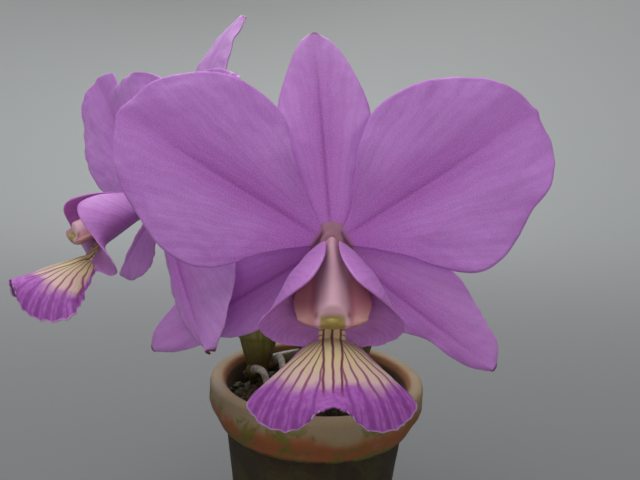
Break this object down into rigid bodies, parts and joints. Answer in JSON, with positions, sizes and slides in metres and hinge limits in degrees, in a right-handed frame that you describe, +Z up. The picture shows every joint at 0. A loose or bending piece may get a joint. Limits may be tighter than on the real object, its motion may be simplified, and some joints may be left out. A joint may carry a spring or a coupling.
{
  "type": "potted cattleya orchid in bloom",
  "caption": "Cattleya orchid in flower in a small terracotta pot, with pseudobulbs, leathery leaves and roots over a heaped bark mix.",
  "frame": {"origin": "centre of the pot's foot, on the surface that the pot stands on", "axes": "+Z up along the pot's axis; the flower that faces the viewer faces -Y, and +X is to its right as seen from the front"},
  "size_m": [0.1501, 0.1495, 0.1915],
  "materials": {
    "terracotta": "unglazed, weathered",
    "bark_mix": "rough bark chips",
    "pseudobulb": "waxy plant skin",
    "leaf": "leathery, satin",
    "stem": "waxy plant skin",
    "tepal": "soft petal",
    "lip": "soft petal",
    "column": "waxy, satin"
  },
  "bodies": {
    "root": {"pot": "terracotta", "potting_mix": "bark_mix", "rhizome_and_pseudobulbs": "pseudobulb", "leaf_1": "leaf", "leaf_2": "leaf", "leaf_3": "leaf", "leaf_4": "leaf", "flower_stem": "stem", "dorsal_sepal_a": "tepal", "petal_right_a": "tepal", "petal_left_a": "tepal", "lateral_sepal_right_a": "tepal", "lateral_sepal_left_a": "tepal", "lip_a": "lip", "column_a": "column", "dorsal_sepal_b": "tepal", "petal_right_b": "tepal", "petal_left_b": "tepal", "lateral_sepal_right_b": "tepal", "lateral_sepal_left_b": "tepal", "lip_b": "lip", "column_b": "column"}
  },
  "joints": []
}
